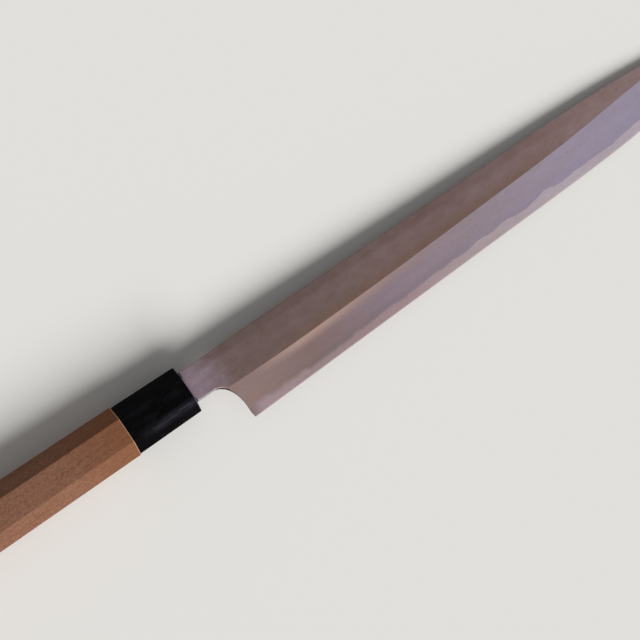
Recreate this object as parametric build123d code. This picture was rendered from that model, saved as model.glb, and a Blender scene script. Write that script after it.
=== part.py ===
from build123d import *
import os
from math import atan2, degrees, hypot

# Yanagiba knife for the right hand, in millimetres.
# Working frame: X from butt to tip with zero at the heel, Y towards the spine with zero on the handle's
# axis, Z up with zero on the flat back of the blade. The finished knife is laid on its back at the end.

# Blade outline
blade_length = 300.0  # heel to tip
heel_height = 35.1  # spine to edge at the heel
spine_offset = 8.4  # spine above the handle's axis
tip_drop = 9.65  # tip below the line of the spine
edge_rise = 10.1  # rise of the straight edge over the whole blade, before the belly lifts it
belly_start_share = 0.55  # of blade_length, where spine and edge begin to curve to the tip
spine_curve_power = 2.7
belly_curve_power = 3.0

# Blade thickness
neck_thickness = 4.2  # at the shoulders
tip_thickness = 1.9  # of the upper face's plane over the back, at the tip
edge_thickness = 0.2

# The ridge between the flat upper face and the bevel: shares of blade_length along the blade, and of
# heel_height below the spine line. It runs out over the spine just short of the tip.
ridge_shares = [
    (-0.07, 0.504),
    (0.0, 0.504),
    (0.08, 0.508),
    (0.16, 0.495),
    (0.25, 0.471),
    (0.34, 0.442),
    (0.43, 0.407),
    (0.52, 0.375),
    (0.61, 0.334),
    (0.69, 0.276),
    (0.77, 0.210),
    (0.84, 0.164),
    (0.90, 0.144),
    (1.0, 0.103),
    (1.04, 0.088),
]
bevel_overrun_share = 0.3  # of the bevel's width, by which its cut runs on past edge and ridge

# Neck and heel
neck_length = 16.9  # from the heel to the shoulders
neck_height = 15.0
neck_drop = 0.5  # fall of the spine towards the shoulders
neck_blend = 38.0  # length over which that fall happens, from the shoulders
choil_width = 9.0  # of the curve between neck and heel
choil_depth = 13.0
spine_break = 0.45  # along the spine: radius above, chamfer below
neck_break = 0.8  # under the neck and round the heel's curve: radius above, chamfer below

# Hard steel layer on the back: its upper surface is a wave, in shares of blade_length and of
# steel_thickness.
steel_thickness = 0.85
steel_start = -9.0  # from the heel, in the neck
steel_scarf = 5.0  # length of the layer's slanted end
steel_wave_shares = [
    (0.0, 1.39),
    (0.023, 1.31),
    (0.047, 1.26),
    (0.07, 1.19),
    (0.093, 1.18),
    (0.12, 1.02),
    (0.143, 0.94),
    (0.167, 1.06),
    (0.197, 1.12),
    (0.233, 1.15),
    (0.273, 1.16),
    (0.307, 1.09),
    (0.327, 1.14),
    (0.34, 1.19),
    (0.36, 1.08),
    (0.383, 1.15),
    (0.403, 1.1),
    (0.43, 1.2),
    (0.453, 1.09),
    (0.473, 1.14),
    (0.493, 1.01),
    (0.513, 0.89),
    (0.533, 1.02),
    (0.547, 1.14),
    (0.557, 1.2),
    (0.57, 1.06),
    (0.587, 0.93),
    (0.62, 0.94),
    (0.657, 0.9),
    (0.693, 0.81),
    (0.733, 0.84),
    (0.78, 0.82),
    (0.833, 0.79),
    (0.9, 0.79),
    (0.95, 0.77),
    (1.04, 0.7),
]

# Hollow of the back: shares of blade_length along it, of the blade's local height in width, and of
# hollow_depth
hollow_depth = 0.35
hollow_shares = [
    (-0.02, 0.25, 0.25),
    (0.03, 0.62, 0.75),
    (0.12, 0.82, 1.0),
    (0.40, 0.84, 1.0),
    (0.65, 0.82, 0.9),
    (0.84, 0.72, 0.6),
    (0.94, 0.30, 0.25),
]

# Tang
tang_length = 104.0  # from the shoulders
tang_root_height = 10.0
tang_end_height = 5.5
tang_end_thickness = 2.8
shoulder_gap = 1.3  # bare tang between shoulders and ferrule
bedding_wall = 0.5  # resin round the tang
bedding_end = 4.0  # resin past the tang's end

# Handle: heights are along Y and thicknesses along Z
ferrule_length = 32.2
ferrule_front_height = 22.4
ferrule_front_thickness = 18.6
ferrule_flare = 0.5  # growth of each side from front to rear
handle_front_height = 24.3
handle_front_thickness = 20.2
handle_wood_length = 117.8
handle_flare = 1.1  # growth of each side from front to butt
height_flat_share = 0.47  # of the front height, that is flat above and below
thickness_flat_share = 0.45  # of the front thickness, that is flat at spine and edge sides
ridge_round = 0.7  # radius of the octagon's ridges
ferrule_rim_round = 0.45
wood_rim_round = 0.6
butt_break = 1.2
tenon_diameter = 14.6
tenon_lead = 0.6  # chamfer at the tenon's end
glue_gap = 0.05  # between tenon and bore

# Levels and stations worked out from the sizes above
shoulder_x = -neck_length
ferrule_front_x = shoulder_x - shoulder_gap
wood_front_x = ferrule_front_x - ferrule_length
butt_x = wood_front_x - handle_wood_length
axis_z = neck_thickness / 2
heel_y = spine_offset - heel_height
neck_under_y = spine_offset - neck_drop - neck_height
overrun = neck_thickness


def belly_share(share):
    """Progress from the start of the belly to the tip, from zero to one."""
    return max(0.0, (share - belly_start_share) / (1 - belly_start_share))


def spine_y(share):
    return spine_offset - tip_drop * belly_share(share) ** spine_curve_power


def edge_y(share):
    belly_lift = heel_height - edge_rise - tip_drop
    return heel_y + edge_rise * share + belly_lift * belly_share(share) ** belly_curve_power


def face_z(share):
    """Level of the flat upper face, which thins evenly from the shoulders to the tip."""
    run_share = (share * blade_length - shoulder_x) / (blade_length - shoulder_x)
    return neck_thickness + (tip_thickness - neck_thickness) * run_share


def octagon_sides(height, thickness):
    """A point and the outward normal of each side of the octagon, as (y, z) pairs."""
    half_y, half_z = height / 2, thickness / 2
    flat_y, flat_z = half_y * height_flat_share, half_z * thickness_flat_share
    slant_y, slant_z = half_z - flat_z, half_y - flat_y
    sides = []
    for turn_y in (1, -1):
        sides.append(((turn_y * half_y, 0), (turn_y, 0)))
        for turn_z in (1, -1):
            sides.append(((turn_y * half_y, turn_z * flat_z), (turn_y * slant_y, turn_z * slant_z)))
    for turn_z in (1, -1):
        sides.append(((0, turn_z * half_z), (0, turn_z)))
    return sides


def plane_flats(body, x, height, thickness, flare_share):
    """Planes eight flats through the octagon at x, which open by flare_share of the way to the butt."""
    for (y, z), (normal_y, normal_z) in octagon_sides(height, thickness):
        lean = flare_share * hypot(normal_y, normal_z)
        flat = Plane(origin=(x, y, axis_z + z), z_dir=(lean, normal_y, normal_z))
        body = split(body, bisect_by=flat, keep=Keep.BOTTOM)
    return body


def planed_bar(front_x, length, height, thickness, flare):
    """Octagonal bar with rounded ridges, whose sides all grow by flare over its length."""
    width = 2 * handle_front_height
    blank = Box(length, width, width, align=(Align.MAX, Align.CENTER, Align.CENTER))
    bar = plane_flats(Pos(front_x, 0, axis_z) * blank, front_x, height, thickness, flare / length)
    ridges = bar.edges().filter_by(lambda edge: abs(edge.tangent_at(0.5).X) > 0.9)
    return fillet(ridges, ridge_round)


def rectangle(x, height, thickness, base_z):
    """Upright rectangle across the handle's axis at x, standing on base_z."""
    return Plane(origin=(x, 0, base_z + thickness / 2), x_dir=(0, 1, 0), z_dir=(1, 0, 0)) * Rectangle(
        height, thickness
    )


def blade_outline():
    """Plan of neck and blade, as one face on the flat back."""
    curve_shares = [belly_start_share + (1 - belly_start_share) * step / 5 for step in range(6)]
    neck_blend_x = shoulder_x + neck_blend
    belly_x = belly_start_share * blade_length
    along = (1, 0)
    shoulder = (shoulder_x, spine_offset - neck_drop)
    neck_top = Spline(shoulder, (neck_blend_x, spine_offset), tangents=[along, along])
    spine = Line((neck_blend_x, spine_offset), (belly_x, spine_offset))
    spine_fall = Spline(
        [(share * blade_length, spine_y(share)) for share in curve_shares],
        tangents=[along, (blade_length, -tip_drop * spine_curve_power / (1 - belly_start_share))],
    )
    belly_lift = heel_height - edge_rise - tip_drop
    tip_slope = edge_rise + belly_lift * belly_curve_power / (1 - belly_start_share)
    belly = Spline(
        [(share * blade_length, edge_y(share)) for share in curve_shares],
        tangents=[(blade_length, edge_rise), (blade_length, tip_slope)],
    )
    edge = Line((belly_x, edge_y(belly_start_share)), (0, heel_y))
    choil_foot_y = neck_under_y - choil_depth
    heel = Line((0, heel_y), (0, choil_foot_y))
    choil = EllipticalCenterArc((-choil_width, choil_foot_y), choil_width, choil_depth, arc_size=90)
    neck_under = Line((-choil_width, neck_under_y), (shoulder_x, neck_under_y))
    shoulders = Line((shoulder_x, neck_under_y), shoulder)
    return make_face([neck_top, spine, spine_fall, belly, edge, heel, choil, neck_under, shoulders])


def bevel_cut():
    """Everything above the ground bevel, from past the edge to past the ridge."""
    low_points, high_points = [], []
    for share, depth_share in ridge_shares:
        x = share * blade_length
        low = Vector(x, edge_y(share), edge_thickness)
        high = Vector(x, spine_offset - depth_share * heel_height, face_z(share))
        across = (high - low) * bevel_overrun_share
        low_points.append(low - across)
        high_points.append(high + across)
    bevel = Face.make_surface_from_curves(Spline(low_points), Spline(high_points))
    return extrude(bevel, amount=neck_thickness + overrun, dir=(0, 0, 1))


def back_hollow():
    """Shallow hollow of the back, a loft through flat arcs."""
    sections = []
    for share, width_share, depth_share in hollow_shares:
        x = share * blade_length
        station_share = max(share, 0.0)
        middle_y = (spine_y(station_share) + edge_y(station_share)) / 2
        half_width = (spine_y(station_share) - edge_y(station_share)) * width_share / 2
        depth = hollow_depth * depth_share
        near, far = (x, middle_y - half_width, -hollow_depth), (x, middle_y + half_width, -hollow_depth)
        crown = ThreePointArc(near, (x, middle_y, depth), far)
        sections.append(make_face([crown, Line(far, near)]))
    return loft(sections)


def steel_layer():
    """Slab under the wavy weld line, wider than the blade."""
    wave = [
        (share * blade_length, steel_thickness * height_share) for share, height_share in steel_wave_shares
    ]
    end_x = wave[-1][0]
    profile = [
        Line((steel_start, -overrun), (steel_start, 0)),
        Line((steel_start, 0), (steel_start + steel_scarf, wave[0][1])),
        Line((steel_start + steel_scarf, wave[0][1]), wave[0]),
        Spline(wave),
        Line(wave[-1], (end_x, -overrun)),
        Line((end_x, -overrun), (steel_start, -overrun)),
    ]
    across = Plane(origin=(0, heel_height, 0), x_dir=(1, 0, 0), z_dir=(0, -1, 0))
    return extrude(across * make_face(profile), amount=2 * heel_height)


def flat_edges(body):
    """Edges of the upper and lower faces, without the upright ones between them."""
    return body.edges().filter_by(lambda edge: abs(edge.tangent_at(0.5).Z) < 0.5)


def break_rim(body, rim, size):
    """Chamfers the lower edges of a rim and rounds its upper ones."""
    middle_z = neck_thickness / 3
    places = [edge.center() for edge in rim if edge.center().Z > middle_z]
    body = chamfer(rim.filter_by(lambda edge: edge.center().Z < middle_z), size)
    upper = body.edges().filter_by(
        lambda edge: min((edge.center() - place).length for place in places) < size / 4
    )
    return fillet(upper, size)


def make_blade():
    """Soft iron body with its tang, and the hard steel layer under it."""
    blank = extrude(blade_outline(), amount=neck_thickness)
    upper_face = Plane(
        origin=(shoulder_x, 0, neck_thickness),
        z_dir=(neck_thickness - tip_thickness, 0, blade_length - shoulder_x),
    )
    blank = split(blank, bisect_by=upper_face, keep=Keep.BOTTOM)
    spine_rim = flat_edges(blank).filter_by(
        lambda edge: edge.center().Y > spine_offset - tip_drop / 2 and edge.length > neck_height
    )
    blank = break_rim(blank, spine_rim, spine_break)
    neck_rim = flat_edges(blank).filter_by(
        lambda edge: edge.center().X < 0 and edge.center().Y < neck_under_y + neck_break
    )
    blank = break_rim(blank, neck_rim, neck_break)
    blade = blank - bevel_cut() - back_hollow()
    slab = steel_layer()
    steel = blade & slab
    tang = loft(
        [
            rectangle(shoulder_x, tang_root_height, neck_thickness, 0),
            rectangle(shoulder_x - tang_length, tang_end_height, tang_end_thickness, 0),
        ]
    )
    return blade - slab + tang, steel


def make_bedding_form():
    """Tapered block that the tang lies in, from the ferrule's face to past the tang's end."""
    wall = 2 * bedding_wall
    end_x = shoulder_x - tang_length - bedding_end
    return loft(
        [
            rectangle(ferrule_front_x, tang_root_height + wall, neck_thickness + wall, -bedding_wall),
            rectangle(end_x, tang_end_height + wall, tang_end_thickness + wall, -bedding_wall),
        ]
    )


def rod(x, diameter, length):
    """Round bar on the handle's axis, from x towards the butt."""
    return extrude(Plane(origin=(x, 0, axis_z), z_dir=(-1, 0, 0)) * Circle(diameter / 2), amount=length)


def round_front_rim(body, radius):
    return fillet(body.faces().sort_by(Axis.X)[-1].edges(), radius)


def make_handle(slot):
    grip = planed_bar(
        wood_front_x, handle_wood_length, handle_front_height, handle_front_thickness, handle_flare
    )
    inset = 2 * (handle_flare - butt_break)
    grip = plane_flats(grip, butt_x, handle_front_height + inset, handle_front_thickness + inset, -1)
    grip = round_front_rim(grip, wood_rim_round)
    tenon = rod(ferrule_front_x, tenon_diameter, ferrule_length + tenon_lead)
    tenon = chamfer(tenon.faces().sort_by(Axis.X)[-1].edges(), tenon_lead)
    return grip + tenon - slot


def make_ferrule():
    ring = planed_bar(
        ferrule_front_x, ferrule_length, ferrule_front_height, ferrule_front_thickness, ferrule_flare
    )
    ring = round_front_rim(ring, ferrule_rim_round)
    return ring - rod(ferrule_front_x, tenon_diameter + 2 * glue_gap, ferrule_length)


def rest_angle():
    """Steepest line from the tip to a lower rim of ferrule or handle, against the flat back."""
    rims = [
        (ferrule_front_x, ferrule_front_thickness),
        (wood_front_x, handle_front_thickness),
        (butt_x, handle_front_thickness + 2 * handle_flare),
    ]
    return max(degrees(atan2(thickness / 2 - axis_z, blade_length - x)) for x, thickness in rims)


def lay_down(nodes):
    """Tilts the knife onto its rest, tip and handle touching, with the origin under its middle."""
    tilt = Rot(0, rest_angle(), 0)
    tilted = {name: tilt * node for name, node in nodes.items()}
    boxes = [node.bounding_box() for node in tilted.values()]
    middle_x = (min(box.min.X for box in boxes) + max(box.max.X for box in boxes)) / 2
    middle_y = (min(box.min.Y for box in boxes) + max(box.max.Y for box in boxes)) / 2
    shift = Pos(-middle_x, -middle_y, -min(box.min.Z for box in boxes))
    return {name: shift * node for name, node in tilted.items()}


cladding, edge_steel = make_blade()
bedding_form = make_bedding_form()
bedding = bedding_form - cladding

knife = {
    "blade_cladding": cladding,
    "blade_edge_steel": edge_steel,
    "ferrule": make_ferrule(),
    "handle": make_handle(bedding_form),
    "tang_bedding": bedding,
}

os.makedirs("parts", exist_ok=True)
for name, node in lay_down(knife).items():
    export_step(node, f"parts/{name}.step")
    box = node.bounding_box()
    print(name, [round(v, 2) for v in (*box.min, *box.max)], "volume", round(node.volume, 1))
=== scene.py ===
import bpy
from math import cos, radians, sin
from mathutils import Matrix, Vector

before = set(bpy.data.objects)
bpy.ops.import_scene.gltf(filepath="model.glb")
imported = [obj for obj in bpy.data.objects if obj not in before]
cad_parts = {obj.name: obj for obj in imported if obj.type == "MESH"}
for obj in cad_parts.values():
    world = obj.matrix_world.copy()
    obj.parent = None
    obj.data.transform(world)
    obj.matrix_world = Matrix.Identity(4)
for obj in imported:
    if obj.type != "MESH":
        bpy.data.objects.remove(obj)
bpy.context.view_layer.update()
print("frame loaded:", ", ".join(sorted(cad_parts)))

# The knife's own axes: X from the heel to the tip, Y to the spine, Z up from the flat back, all in mm
knifeFrame = {
    "origin": (-0.06554693, 0.00672045, 0.00683957),  # metres, where those axes start
    "leanDegrees": 1.30789,  # how far the blade tips down to its point
    "unit": 0.001,
}
lean = Matrix.Rotation(radians(knifeFrame["leanDegrees"]), 4, "Y")


# sRGB hex to a linear colour
def hexColour(code):
    parts = [int(code[i:i + 2], 16) / 255 for i in (0, 2, 4)]
    return tuple(p / 12.92 if p <= 0.04045 else ((p + 0.055) / 1.055) ** 2.4 for p in parts) + (1.0,)


# One node with its settings and links. An input takes a value, a hex colour, a socket, or a node for its
# first live output. stops are (place, hex) on a colour ramp, points are the line of a float curve.
def addNode(tree, kind, inputs, stops=(), points=(), **settings):
    node = tree.nodes.new("ShaderNode" + kind)
    for name, value in settings.items():
        setattr(node, name, value)
    for key, value in inputs.items():
        socket = node.inputs[key] if isinstance(key, int) else next(
            s for s in node.inputs if s.enabled and s.name == key)
        if isinstance(value, bpy.types.Node):
            value = next(s for s in value.outputs if s.enabled)
        if isinstance(value, bpy.types.NodeSocket):
            tree.links.new(value, socket)
        else:
            socket.default_value = hexColour(value) if isinstance(value, str) else value
    if stops:
        elements = node.color_ramp.elements
        elements.remove(elements[1])
        for k, (place, code) in enumerate(stops):
            element = elements.new(place) if k else elements[0]
            element.position, element.color = place, hexColour(code)
    if points:
        line = node.mapping.curves[0]
        line.points[0].location, line.points[1].location = points[0], points[-1]
        for point in points[1:-1]:
            line.points.new(*point)
        node.mapping.update()
    return node


def newMaterial(name):
    material = bpy.data.materials.new(name)
    material.use_nodes = True
    material.node_tree.nodes.clear()
    return material, material.node_tree


# The two ends of a span, as inputs for the From side or the To side of a range
def ends(span, side="From"):
    return {side + " Min": span[0], side + " Max": span[1]}


# Object coordinates turned into the knife's own axes, in mm
def knifeCoordinates(tree):
    place = addNode(tree, "TexCoord", {})
    return addNode(tree, "Mapping", {
        "Vector": place.outputs["Object"],
        "Location": knifeFrame["origin"],
        "Rotation": (0, radians(knifeFrame["leanDegrees"]), 0),
        "Scale": (knifeFrame["unit"],) * 3,
    }, vector_type="TEXTURE")


# X, Y and Z of the way a surface faces, by its true normal or by the smoothed one, "Normal"
def facing(tree, normal="True Normal"):
    geometry = addNode(tree, "NewGeometry", {})
    return addNode(tree, "SeparateXYZ", {"Vector": geometry.outputs[normal]}).outputs


# Uneven grain from 0 to 1, whose specks measure so many mm along, across and through the knife.
# The noise lies round 0.5, and contrast is how far from there the grain is 0 or 1.
def unevenGrain(tree, coordinates, speckSize, detail=3.0, contrast=0.2, roughness=0.58, shift=(0, 0, 0)):
    cells = addNode(tree, "Mapping", {
        "Vector": coordinates, "Location": shift, "Scale": [1 / size for size in speckSize]},
        vector_type="POINT")
    noise = addNode(tree, "TexNoise", {
        "Vector": cells, "Scale": 1.0, "Detail": detail, "Roughness": roughness})
    return addNode(tree, "MapRange", {"Value": noise, **ends((0.5 - contrast, 0.5 + contrast))})


# Colours laid over a first one, each as far as its own mask says
def layColours(tree, colour, layers, blend="MIX"):
    for mask, cover in layers:
        colour = addNode(tree, "Mix", {"Factor": mask, "A": colour, "B": cover},
                         data_type="RGBA", blend_type=blend)
    return colour


# The shader that ends a finish, with the relief that a height pattern gives it
def addShader(tree, height, relief, inputs):
    bump = addNode(tree, "Bump", {"Height": height, **relief})
    shader = addNode(tree, "BsdfPrincipled", {**inputs, "Normal": bump})
    addNode(tree, "OutputMaterial", {"Surface": shader})


# Blade: soft iron clad on hard steel. The same finish runs over both pieces, so that the weld line between
# them can be finer than the pieces' own border. Lengths and places are mm in the knife's own axes, and a
# span says where a look starts and where it's full.
blade = {
    "length": 300.0,
    "heelHeight": 35.1,
    "spineLevel": 8.4,  # the spine's Y
    "faceAtHeel": 4.0773,  # the flat's level over the back at the heel
    "faceFall": 0.0072578,  # what that level loses per mm towards the tip
    "ridgeLine": [  # share along the blade, share of the heel's height below the spine
        (0.0, 0.504), (0.08, 0.508), (0.16, 0.495), (0.25, 0.471), (0.34, 0.442), (0.43, 0.407),
        (0.52, 0.375), (0.61, 0.334), (0.69, 0.276), (0.77, 0.210), (0.84, 0.164), (0.90, 0.144),
        (1.0, 0.103)],
    "shadeSpan": (-17.0, 300.0),  # X, from the neck to the tip, that the rows of shades run along

    # weld line: below it is steel
    "weldLine": [  # share along the blade, height over the back in weld units
        (0.0, 0.695), (0.023, 0.655), (0.047, 0.63), (0.07, 0.595), (0.093, 0.59), (0.12, 0.51),
        (0.143, 0.47), (0.167, 0.53), (0.197, 0.56), (0.233, 0.575), (0.273, 0.58), (0.307, 0.545),
        (0.327, 0.57), (0.34, 0.595), (0.36, 0.54), (0.383, 0.575), (0.403, 0.55), (0.43, 0.6),
        (0.453, 0.545), (0.473, 0.57), (0.493, 0.505), (0.513, 0.445), (0.533, 0.51), (0.547, 0.57),
        (0.557, 0.6), (0.57, 0.53), (0.587, 0.465), (0.62, 0.47), (0.657, 0.45), (0.693, 0.405),
        (0.733, 0.42), (0.78, 0.41), (0.833, 0.395), (0.9, 0.395), (0.95, 0.385), (1.0, 0.36)],
    "weldUnit": 1.7,
    "ripples": {"speckSize": (7, 40, 40), "detail": 1.5, "contrast": 0.25},
    "swingSpan": (25.0, 120.0),  # X, along which the ripples get lower
    "swing": (0.16, 0.05),
    "blurSpan": (25.0, 130.0),  # X, along which the line gets sharper
    "blur": (-0.36, -0.04),  # below zero, because the steel is on the lower side

    # flat: satin and mottled, ochre just over the ridge, lilac at the neck, darker along the spine
    # the iron's colour with painted light: lighter towards the tip
    "flatShadesWithPaintedLight": [
        (0.15, "776767"), (0.25, "7B6B6B"), (0.32, "816F70"), (0.43, "806E6F"), (0.52, "887679"),
        (0.61, "8C7779"), (0.7, "937F82"), (1.0, "978789")],
    "mottle": {"speckSize": (7, 4, 4), "detail": 4.0},
    "mottleShade": "EFE8E2",
    "ochre": "7D6455",
    "ochreHeight": (7.5, 0.6),  # over the ridge
    "ochreWander": 2.4,  # how far the mottle lowers it
    "ochreStart": (4.0, 50.0),  # X
    "ochreEnd": (190.0, 160.0),  # X
    "ochreLevel": 0.6,
    "bloom": "978998",
    "bloomSpan": (9.0, -15.0),  # X
    "bloomWander": 5.0,  # how far the mottle draws it back to the ferrule
    "spineShade": "EFEDEC",
    "spineShadeSpan": (2.5, 5.5),  # Y
    "spineShadeEnd": (210.0, 170.0),  # X
    "satin": {"speckSize": (26, 0.42, 0.42)},  # coarser than the real lines, which are too fine to show
    "flatRoughness": (0.37, 0.46),

    # rims of the iron: polished under the neck with a painted highlight, dull round the choil with painted
    # shade
    "rimFacing": (-0.15, -0.45),  # how far they turn to the butt and to the edge's side
    "rimDull": "4A3C37",
    "rimPolish": "928A98",
    "polishAndHighlightSpan": (-6.0, -9.0),  # X
    "rimRoughness": (0.75, 0.4),  # dull, polished

    # bevel: a misty matt, peach near the heel, paler under the ridge, a cool shadow along the weld
    "bevelFacing": 0.94,  # the bevel lies nearly level
    "bevelDepth": (0.01, 0.05),  # below the flat's level
    # the mist's colour with painted light: lighter and bluer towards the tip
    "mistShadesWithPaintedLight": [
        (0.07, "796A6C"), (0.17, "746364"), (0.32, "857783"), (0.46, "918590"), (0.61, "9B91A3"),
        (0.73, "9E97AD"), (1.0, "A09CB3")],
    "mist": {"speckSize": (24, 4.5, 4.5), "detail": 4.0, "shift": (3, 1, 0)},
    "mistShade": "F7F4F1",
    "peach": "846D66",
    "peachSpan": (70.0, 4.0),  # X
    "peachLevel": 0.65,
    "underRidge": "9C8680",
    "underRidgeDepth": (1.1, 0.1),  # below the flat's level
    "underRidgeStart": (8.0, 34.0),  # X
    "underRidgeEnd": (125.0, 45.0),  # X
    # the weld shadow's colour with painted light: lighter and bluer towards the tip
    "shadowShadesWithPaintedLight": [
        (0.17, "6A5F5E"), (0.32, "766D7A"), (0.46, "8A8293"), (0.61, "958EA5"), (1.0, "A4A0BA")],
    "shadowHeight": (1.1, -0.1),  # over the weld
    "shadowStart": (4.0, 40.0),  # X
    "shadowPatches": {"speckSize": (11, 6, 6), "detail": 2.0, "shift": (0, 4, 2)},
    "shadowLevel": (0.45, 1.0),
    # the steel's colour with painted light: lighter and bluer towards the tip
    "steelShadesWithPaintedLight": [
        (0.07, "9A8890"), (0.17, "978487"), (0.32, "A58F95"), (0.46, "B4A6AE"), (0.61, "BBB0BD"),
        (1.0, "C2B7CA")],
    "steelStart": (0.0, 6.0),  # X
    "keenEdge": "DACFD9",
    "keenHeight": (0.32, 0.22),  # over the back
    "keenLevel": 0.6,
    "bevelRoughness": (0.44, 0.34),  # iron, steel

    # back of the steel: a bright flat rim round a duller hollow
    "backRim": "A59C9E",
    "backHollow": "8A8184",
    "hollowDepth": (0.01, 0.06),  # over the flat rim
    "backRoughness": (0.26, 0.38),

    # grit all over
    "grit": {"speckSize": (1.4, 0.8, 0.8)},
    "gritShade": "F5F3F2",
    "gritRelief": 0.5,  # beside 1 for the satin lines
    "relief": {"Strength": 0.25, "Distance": 0.00002},
}


# What the blade's looks go by: the place on it, its share of the length, its depth below the flat's level
def bladeMeasures(tree):
    coordinates = knifeCoordinates(tree)
    x, y, z = addNode(tree, "SeparateXYZ", {"Vector": coordinates}).outputs
    faceLevel = addNode(tree, "Math", {0: x, 1: -blade["faceFall"], 2: blade["faceAtHeel"]},
                        operation="MULTIPLY_ADD")
    return {
        "coordinates": coordinates, "x": x, "y": y, "z": z,
        "share": addNode(tree, "Math", {0: x, 1: blade["length"]}, operation="DIVIDE"),
        "shadeShare": addNode(tree, "MapRange", {"Value": x, **ends(blade["shadeSpan"])}),
        "belowFace": addNode(tree, "Math", {0: faceLevel, 1: z}, operation="SUBTRACT"),
    }


# Height over the weld line with its ripples, and the mask of the steel below it
def weldMasks(tree, at):
    line = addNode(tree, "FloatCurve", {"Value": at["share"]}, points=blade["weldLine"])
    swing = addNode(tree, "MapRange", {
        "Value": at["x"], **ends(blade["swingSpan"]), **ends(blade["swing"], "To")})
    swingDown = addNode(tree, "Math", {0: swing, 1: -1.0}, operation="MULTIPLY")
    ripple = addNode(tree, "MapRange", {
        "Value": unevenGrain(tree, at["coordinates"], **blade["ripples"]), **ends((swingDown, swing), "To")})
    weld = addNode(tree, "Math", {0: line, 1: blade["weldUnit"], 2: ripple}, operation="MULTIPLY_ADD")
    overWeld = addNode(tree, "Math", {0: at["z"], 1: weld}, operation="SUBTRACT")
    blur = addNode(tree, "MapRange", {
        "Value": at["x"], **ends(blade["blurSpan"]), **ends(blade["blur"], "To")})
    steel = addNode(tree, "MapRange", {
        "Value": addNode(tree, "Math", {0: overWeld, 1: blur}, operation="DIVIDE"), **ends((-1.0, 1.0))},
        interpolation_type="SMOOTHSTEP")
    return overWeld, steel


# Colour and roughness of the iron's flat and rims
def flatLook(tree, at, satin):
    mottle = unevenGrain(tree, at["coordinates"], **blade["mottle"])
    ridge = addNode(tree, "FloatCurve", {"Value": at["share"]}, points=blade["ridgeLine"])
    ridge = addNode(tree, "Math", {0: ridge, 1: -blade["heelHeight"], 2: blade["spineLevel"]},
                    operation="MULTIPLY_ADD")
    overRidge = addNode(tree, "Math", {0: at["y"], 1: ridge}, operation="SUBTRACT")
    overRidge = addNode(tree, "Math", {0: mottle, 1: blade["ochreWander"], 2: overRidge},
                        operation="MULTIPLY_ADD")
    ochreAlong = addNode(tree, "MapRange", {
        "Value": at["x"], **ends(blade["ochreEnd"]), "To Max": blade["ochreLevel"]})
    ochreAlong = addNode(tree, "MapRange", {
        "Value": at["x"], **ends(blade["ochreStart"]), "To Max": ochreAlong})
    ochre = addNode(tree, "MapRange", {
        "Value": overRidge, **ends(blade["ochreHeight"]), "To Max": ochreAlong},
        interpolation_type="SMOOTHSTEP")
    bloom = addNode(tree, "Math", {0: mottle, 1: blade["bloomWander"], 2: at["x"]}, operation="MULTIPLY_ADD")
    bloom = addNode(tree, "MapRange", {"Value": bloom, **ends(blade["bloomSpan"])},
                    interpolation_type="SMOOTHSTEP")
    spineAlong = addNode(tree, "MapRange", {"Value": at["x"], **ends(blade["spineShadeEnd"])})
    nearSpine = addNode(tree, "MapRange", {
        "Value": at["y"], **ends(blade["spineShadeSpan"]), "To Max": spineAlong},
        interpolation_type="SMOOTHSTEP")
    # row of shades along the blade, with painted light that gets lighter towards the tip
    flat = addNode(tree, "ValToRGB", {"Fac": at["shadeShare"]}, stops=blade["flatShadesWithPaintedLight"])
    flat = layColours(tree, flat, ((ochre, blade["ochre"]), (bloom, blade["bloom"])))
    flat = layColours(tree, flat, ((mottle, blade["mottleShade"]), (nearSpine, blade["spineShade"])),
                      "MULTIPLY")
    flatRoughness = addNode(tree, "MapRange", {"Value": satin, **ends(blade["flatRoughness"], "To")})

    # painted highlight in the rims' colour under the neck, painted shade round the choil
    smooth = facing(tree, "Normal")
    turned = addNode(tree, "Math", {0: smooth["X"], 1: smooth["Y"]}, operation="MINIMUM")
    rim = addNode(tree, "MapRange", {"Value": turned, **ends(blade["rimFacing"])})
    polishedAndLit = addNode(tree, "MapRange", {"Value": at["x"], **ends(blade["polishAndHighlightSpan"])})
    rimColour = layColours(tree, blade["rimDull"], ((polishedAndLit, blade["rimPolish"]),))
    rimRoughness = addNode(tree, "MapRange", {"Value": polishedAndLit, **ends(blade["rimRoughness"], "To")})
    roughness = addNode(tree, "Mix", {"Factor": rim, "A": flatRoughness, "B": rimRoughness})
    return layColours(tree, flat, ((rim, rimColour),)), roughness


# Colour and roughness of the steel's back
def backLook(tree, at):
    hollow = addNode(tree, "MapRange", {"Value": at["z"], **ends(blade["hollowDepth"])})
    roughness = addNode(tree, "MapRange", {"Value": hollow, **ends(blade["backRoughness"], "To")})
    return layColours(tree, blade["backRim"], ((hollow, blade["backHollow"]),)), roughness


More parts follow.
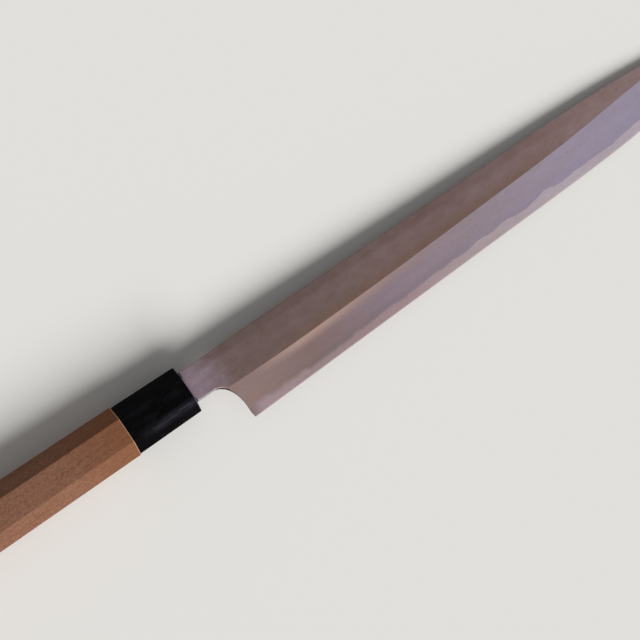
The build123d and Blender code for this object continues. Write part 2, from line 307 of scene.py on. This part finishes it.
# Colour and roughness of the bevel, iron above the weld line and steel below it
def bevelLook(tree, at):
    overWeld, steel = weldMasks(tree, at)
    mist = unevenGrain(tree, at["coordinates"], **blade["mist"])
    # rows of shades along the blade, with painted light that gets lighter and bluer towards the tip
    mistShade, shadowShade, steelShade = (
        addNode(tree, "ValToRGB", {"Fac": at["shadeShare"]}, stops=blade[shades])
        for shades in ("mistShadesWithPaintedLight", "shadowShadesWithPaintedLight", "steelShadesWithPaintedLight"))
    peachAlong = addNode(tree, "MapRange", {
        "Value": at["x"], **ends(blade["peachSpan"]), "To Max": blade["peachLevel"]})
    peach = addNode(tree, "Math", {0: mist, 1: peachAlong}, operation="MULTIPLY")
    ridgeAlong = addNode(tree, "MapRange", {"Value": at["x"], **ends(blade["underRidgeEnd"])})
    ridgeAlong = addNode(tree, "MapRange", {
        "Value": at["x"], **ends(blade["underRidgeStart"]), "To Max": ridgeAlong})
    underRidge = addNode(tree, "MapRange", {
        "Value": at["belowFace"], **ends(blade["underRidgeDepth"]), "To Max": ridgeAlong},
        interpolation_type="SMOOTHSTEP")
    patches = unevenGrain(tree, at["coordinates"], **blade["shadowPatches"])
    patches = addNode(tree, "MapRange", {"Value": patches, **ends(blade["shadowLevel"], "To")})
    shadowAlong = addNode(tree, "MapRange", {
        "Value": at["x"], **ends(blade["shadowStart"]), "To Max": patches})
    shadow = addNode(tree, "MapRange", {
        "Value": overWeld, **ends(blade["shadowHeight"]), "To Max": shadowAlong},
        interpolation_type="SMOOTHSTEP")
    bright = addNode(tree, "MapRange", {"Value": at["x"], **ends(blade["steelStart"]), "To Max": steel})
    keen = addNode(tree, "MapRange", {
        "Value": at["z"], **ends(blade["keenHeight"]), "To Max": blade["keenLevel"]})
    colour = layColours(tree, mistShade, (
        (peach, blade["peach"]), (underRidge, blade["underRidge"]), (shadow, shadowShade),
        (bright, steelShade)))
    colour = layColours(tree, colour, ((mist, blade["mistShade"]),), "MULTIPLY")
    roughness = addNode(tree, "MapRange", {"Value": steel, **ends(blade["bevelRoughness"], "To")})
    return layColours(tree, colour, ((keen, blade["keenEdge"]),)), roughness


# Iron: satin flat, misty bevel. Steel: finer polish, hence brighter and glossier.
def bladeFinish(name, isSteel):
    material, tree = newMaterial(name)
    at = bladeMeasures(tree)
    satin = unevenGrain(tree, at["coordinates"], **blade["satin"])
    grit = unevenGrain(tree, at["coordinates"], **blade["grit"])
    level = addNode(tree, "Math", {0: facing(tree)["Z"], 1: blade["bevelFacing"]}, operation="GREATER_THAN")
    bevel = addNode(tree, "MapRange", {
        "Value": at["belowFace"], **ends(blade["bevelDepth"]), "To Max": level},
        interpolation_type="SMOOTHSTEP")
    restColour, restRoughness = backLook(tree, at) if isSteel else flatLook(tree, at, satin)
    bevelColour, bevelRoughness = bevelLook(tree, at)
    colour = layColours(tree, restColour, ((bevel, bevelColour),))
    colour = layColours(tree, colour, ((grit, blade["gritShade"]),), "MULTIPLY")
    roughness = addNode(tree, "Mix", {"Factor": bevel, "A": restRoughness, "B": bevelRoughness})
    height = addNode(tree, "Math", {0: grit, 1: blade["gritRelief"], 2: satin}, operation="MULTIPLY_ADD")
    addShader(tree, height, blade["relief"], {
        "Base Color": colour, "Metallic": 1.0, "Roughness": roughness})
    return material


# Horn: buffalo horn, nearly black under a low polish, with faint grey streaks along it. A painted sheen lies
# along the ridge between the upper and the edge-side facet, and a painted highlight makes the front edge
# lighter.
horn = {
    "dark": "040304",
    "streak": "0C0B0E",
    "streaks": {"speckSize": (9, 3, 3), "detail": 4.0},
    "streakSpan": (0.45, 1.0),
    "fleck": "201F25",
    "flecks": {"speckSize": (2.0, 1.1, 1.1)},
    "fleckSpan": (0.7, 1.0),
    "fleckLevel": 0.25,
    # painted sheen: a grey glint along the ridge, on upward faces
    "paintedSheen": "3C3B44",
    "sheenPlace": -6.0,  # mm, the ridge's Y
    "sheenWidth": (2.6, 0.0),  # mm from there
    "sheenStart": (-47.0, -38.0),  # mm, X
    "sheenFacing": (0.3, 0.6),  # only on surfaces that face upwards
    "sheenLevel": 0.62,
    "wisps": {"speckSize": (5, 1.2, 1.2), "shift": (2, 0, 1)},
    # painted highlight on the rounded front edge
    "rim": "74707E",
    "rimFacing": (0.1, 0.3),  # forwards
    "frontFacing": (0.98, 0.9),  # leaves out the flat front
    "roughness": (0.32, 0.46),
    "gloss": {"Specular IOR Level": 0.025, "IOR": 1.55},
    "relief": {"Strength": 0.15, "Distance": 0.00002},
}


def hornFinish(name):
    material, tree = newMaterial(name)
    coordinates = knifeCoordinates(tree)
    x, y, _ = addNode(tree, "SeparateXYZ", {"Vector": coordinates}).outputs
    faces = facing(tree)
    streaks, flecks, wisps = (
        unevenGrain(tree, coordinates, **horn[grain]) for grain in ("streaks", "flecks", "wisps"))
    streak = addNode(tree, "MapRange", {"Value": streaks, **ends(horn["streakSpan"])})
    fleck = addNode(tree, "MapRange", {
        "Value": flecks, **ends(horn["fleckSpan"]), "To Max": horn["fleckLevel"]})
    # painted sheen along the ridge, only where the surface faces upwards
    fromRidge = addNode(tree, "Math", {0: y, 1: horn["sheenPlace"]}, operation="SUBTRACT")
    fromRidge = addNode(tree, "Math", {0: fromRidge}, operation="ABSOLUTE")
    upwards = addNode(tree, "MapRange", {
        "Value": faces["Z"], **ends(horn["sheenFacing"]), "To Max": horn["sheenLevel"]})
    wisps = addNode(tree, "Math", {0: wisps, 1: upwards}, operation="MULTIPLY")
    paintedSheen = addNode(tree, "MapRange", {"Value": fromRidge, **ends(horn["sheenWidth"]), "To Max": wisps})
    paintedSheen = addNode(tree, "MapRange", {"Value": x, **ends(horn["sheenStart"]), "To Max": paintedSheen})
    # painted highlight on the front edge, not on the flat front
    notFront = addNode(tree, "MapRange", {"Value": faces["X"], **ends(horn["frontFacing"])})
    rim = addNode(tree, "MapRange", {"Value": faces["X"], **ends(horn["rimFacing"]), "To Max": notFront})
    colour = layColours(tree, horn["dark"], (
        (streak, horn["streak"]), (fleck, horn["fleck"]), (paintedSheen, horn["paintedSheen"]), (rim, horn["rim"])))
    roughness = addNode(tree, "MapRange", {"Value": streaks, **ends(horn["roughness"], "To")})
    addShader(tree, flecks, horn["relief"], {
        "Base Color": colour, "Roughness": roughness, **horn["gloss"]})
    return material


# Wood: magnolia, sanded and bare, fine and even, with short pores and only a hint of rings. It darkens
# towards the ferrule, a painted highlight makes its front edge pale, and its end grain is darker. In the
# ferrule's mouth it is scorched round the slot that the hot tang was burnt in through.
wood = {
    "dark": "6B4836",
    "light": "966C57",
    "fibres": {"speckSize": (28, 0.75, 0.75), "detail": 4.0},
    "speckle": {"speckSize": (1.5, 0.55, 0.55), "contrast": 0.15},
    "patches": {"speckSize": (18, 8, 8)},
    "rings": {"Scale": 0.131, "Distortion": 1.6, "Detail": 2.0, "Detail Scale": 0.4},  # 2.4 mm apart
    "heart": (0, 74, 41),  # mm, from the handle's axis back to the middle of the tree
    "toneShares": {"fibres": 0.18, "speckle": 0.56, "patches": 0.12, "rings": 0.1},
    "front": "794A2C",
    "frontSpan": (-82.0, -54.0),  # mm, X
    "frontLevel": 0.5,
    "pore": "4A2D1C",
    "pores": {"speckSize": (2.4, 0.3, 0.3), "detail": 0.0, "shift": (7, 3, 5)},
    "poreSpan": (0.88, 1.0),
    "poreLevel": 0.3,
    # painted highlight on the rounded front edge
    "rim": "D0A48C",
    "rimFacing": (0.2, 0.5),  # forwards
    "frontFacing": (0.98, 0.9),  # leaves out the flat front
    "rimBehind": -45.0,  # mm, X, which leaves out the tenon
    "endFacing": (0.9, 0.98),
    "endLevel": 0.4,
    "scorch": "1F130C",
    "scorchReach": (9.5, 3.6),  # mm over and under the handle's axis
    "scorchWander": 1.2,
    "scorchFrom": -30.0,  # mm, X
    "axisLevel": 2.1,  # mm, the handle's axis over the flat back
    "roughness": (0.58, 0.72),
    "gloss": {"Specular IOR Level": 0.05, "IOR": 1.5},
    "speckleRelief": 0.7,  # beside 1 for the fibres
    "relief": {"Strength": 0.3, "Distance": 0.00006},
}


def woodFinish(name):
    material, tree = newMaterial(name)
    coordinates = knifeCoordinates(tree)
    x, _, z = addNode(tree, "SeparateXYZ", {"Vector": coordinates}).outputs
    faces = facing(tree)
    grains = {grain: unevenGrain(tree, coordinates, **wood[grain])
              for grain in ("fibres", "speckle", "patches", "pores")}
    heart = addNode(tree, "Mapping", {"Vector": coordinates, "Location": wood["heart"]}, vector_type="POINT")
    grains["rings"] = addNode(tree, "TexWave", {"Vector": heart, **wood["rings"]},
                              wave_type="RINGS", rings_direction="X").outputs["Fac"]
    tone = 0.0
    for grain, share in wood["toneShares"].items():
        tone = addNode(tree, "Math", {0: grains[grain], 1: share, 2: tone}, operation="MULTIPLY_ADD")
    front = addNode(tree, "MapRange", {"Value": x, **ends(wood["frontSpan"]), "To Max": wood["frontLevel"]})
    pore = addNode(tree, "MapRange", {
        "Value": grains["pores"], **ends(wood["poreSpan"]), "To Max": wood["poreLevel"]})
    # painted highlight on the front edge, not on the flat front or the tenon
    behind = addNode(tree, "Math", {0: x, 1: wood["rimBehind"]}, operation="LESS_THAN")
    notFront = addNode(tree, "MapRange", {
        "Value": faces["X"], **ends(wood["frontFacing"]), "To Max": behind})
    rim = addNode(tree, "MapRange", {"Value": faces["X"], **ends(wood["rimFacing"]), "To Max": notFront})
    endwise = addNode(tree, "Math", {0: faces["X"]}, operation="ABSOLUTE")
    endwise = addNode(tree, "MapRange", {
        "Value": endwise, **ends(wood["endFacing"]), "To Max": wood["endLevel"]})
    fromTang = addNode(tree, "Math", {0: z, 1: wood["axisLevel"]}, operation="SUBTRACT")
    fromTang = addNode(tree, "Math", {0: fromTang}, operation="ABSOLUTE")
    fromTang = addNode(tree, "Math", {0: grains["speckle"], 1: wood["scorchWander"], 2: fromTang},
                       operation="MULTIPLY_ADD")
    inMouth = addNode(tree, "Math", {0: x, 1: wood["scorchFrom"]}, operation="GREATER_THAN")
    scorch = addNode(tree, "MapRange", {"Value": fromTang, **ends(wood["scorchReach"]), "To Max": inMouth})
    colour = layColours(tree, wood["dark"], (
        (tone, wood["light"]), (front, wood["front"]), (pore, wood["pore"]), (rim, wood["rim"]),
        (endwise, wood["pore"]), (scorch, wood["scorch"])))
    roughness = addNode(tree, "MapRange", {"Value": grains["fibres"], **ends(wood["roughness"], "To")})
    height = addNode(tree, "Math", {0: grains["speckle"], 1: wood["speckleRelief"], 2: grains["fibres"]},
                     operation="MULTIPLY_ADD")
    addShader(tree, height, wood["relief"], {
        "Base Color": colour, "Roughness": roughness, **wood["gloss"]})
    return material


# Resin: dark pitch-like bedding, set with a dull skin and small pits
resin = {
    "dark": "17120F",
    "light": "2A211B",
    "blotches": {"speckSize": (1.8, 1.8, 1.8)},
    "roughness": (0.4, 0.6),
    "gloss": {"Specular IOR Level": 0.2},
    "relief": {"Strength": 0.4, "Distance": 0.0002},
}


def resinFinish(name):
    material, tree = newMaterial(name)
    blotches = unevenGrain(tree, knifeCoordinates(tree), **resin["blotches"])
    colour = layColours(tree, resin["dark"], ((blotches, resin["light"]),))
    roughness = addNode(tree, "MapRange", {"Value": blotches, **ends(resin["roughness"], "To")})
    addShader(tree, blotches, resin["relief"], {
        "Base Color": colour, "Roughness": roughness, **resin["gloss"]})
    return material


finishes = {
    "blade_cladding": bladeFinish("softIronSatinAndMist", isSteel=False),
    "blade_edge_steel": bladeFinish("hardSteelFinePolish", isSteel=True),
    "ferrule": hornFinish("buffaloHornLowPolish"),
    "handle": woodFinish("magnoliaSandedBare"),
    "tang_bedding": resinFinish("resinSetDark"),
}
for name, material in finishes.items():
    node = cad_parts[name]
    node.data.materials.clear()
    node.data.materials.append(material)
print("finishes:", ", ".join(m.name for m in finishes.values()))

# Stage
stageSetup = {
    "floorHalfSize": 60.0,  # metres
    "floorColour": "ECEAE6",
    "lightLevel": 0.22,  # world light on the object
    "paleColour": "E2E0DC",  # what camera and gloss see of the world
    "keyPlace": (0, 0, 2),  # metres; a sun shines alike from anywhere
    "keyStrength": 3.6,
    "keyAngle": 36.0,  # degrees, a very large soft source
    "keyFromUp": 53.5,  # degrees away from straight above
    "keyTurn": -20.0,  # degrees from the edge's side towards the tip
}
bpy.ops.object.select_all(action="DESELECT")
bpy.ops.mesh.primitive_plane_add(size=2 * stageSetup["floorHalfSize"], location=(0, 0, 0))
floor = bpy.context.active_object
floor.name = "floor"
bpy.ops.object.transform_apply(location=True, rotation=True, scale=True)
material, tree = newMaterial("paperFloorMatt")
shader = addNode(tree, "BsdfDiffuse", {"Color": stageSetup["floorColour"]})
addNode(tree, "OutputMaterial", {"Surface": shader})
floor.data.materials.append(material)

world = bpy.data.worlds.new("studioWorld")
world.use_nodes = True
bpy.context.scene.world = world
tree = world.node_tree
tree.nodes.clear()
ray = addNode(tree, "LightPath", {}).outputs
seesPale = addNode(tree, "Math", {0: ray["Is Camera Ray"], 1: ray["Is Glossy Ray"]}, operation="MAXIMUM")
seesPale = addNode(tree, "Math", {0: seesPale, 1: ray["Is Transmission Ray"]}, operation="MAXIMUM")
lightColour = (stageSetup["lightLevel"],) * 3 + (1.0,)
worldColour = layColours(tree, lightColour, ((seesPale, stageSetup["paleColour"]),))
background = addNode(tree, "Background", {"Color": worldColour, "Strength": 1.0})
addNode(tree, "OutputWorld", {"Surface": background})

bpy.ops.object.light_add(type="SUN", location=stageSetup["keyPlace"])
key = bpy.context.active_object
key.name = "keyLight"
key.data.energy = stageSetup["keyStrength"]
key.data.angle = radians(stageSetup["keyAngle"])
fromUp, turn = radians(stageSetup["keyFromUp"]), radians(stageSetup["keyTurn"])
towardsLight = Vector((sin(fromUp) * sin(turn), -sin(fromUp) * cos(turn), cos(fromUp)))
key.rotation_mode = "QUATERNION"
key.rotation_quaternion = towardsLight.to_track_quat("Z", "Y")
print("stage: floor, world and key light")

# Camera at the photograph's viewing angle
cameraSetup = {
    "target": (47.6, -7.46, 3.7),  # in the knife's axes, what the middle of the picture shows
    "distance": 1.0,  # metres
    "lens": 128.64,  # mm
    "sensor": 36.0,  # mm
    "tilt": 12.0,  # degrees from the blade's normal, towards the butt
    "roll": 33.5,  # degrees, the line of the picture that the blade follows
    "slope": 0.65,  # degrees between that line and the knife's axis
    "clip": (0.01, 200.0),  # metres
}
tilt, roll, slope = (radians(cameraSetup[angle]) for angle in ("tilt", "roll", "slope"))
along = Vector((cos(slope), -sin(slope), 0))
across = Vector((sin(slope), cos(slope), 0))
up = Vector((0, 0, 1))
lookWay = sin(tilt) * along - cos(tilt) * up
pictureAlong = cos(tilt) * along + sin(tilt) * up
right = cos(roll) * pictureAlong - sin(roll) * across
top = sin(roll) * pictureAlong + cos(roll) * across
turnMatrix = Matrix((right, top, -lookWay)).transposed().to_4x4()
target = lean @ (Vector(cameraSetup["target"]) * knifeFrame["unit"]) + Vector(knifeFrame["origin"])
cameraPlace = target - (lean.to_3x3() @ lookWay) * cameraSetup["distance"]
bpy.ops.object.camera_add()
camera = bpy.context.active_object
camera.name = "camera"
camera.matrix_world = Matrix.Translation(cameraPlace) @ lean @ turnMatrix
camera.data.sensor_width = cameraSetup["sensor"]
camera.data.lens = cameraSetup["lens"]
camera.data.clip_start, camera.data.clip_end = cameraSetup["clip"]
bpy.context.scene.camera = camera
bpy.context.scene.view_settings.view_transform = "Standard"
print("camera set")
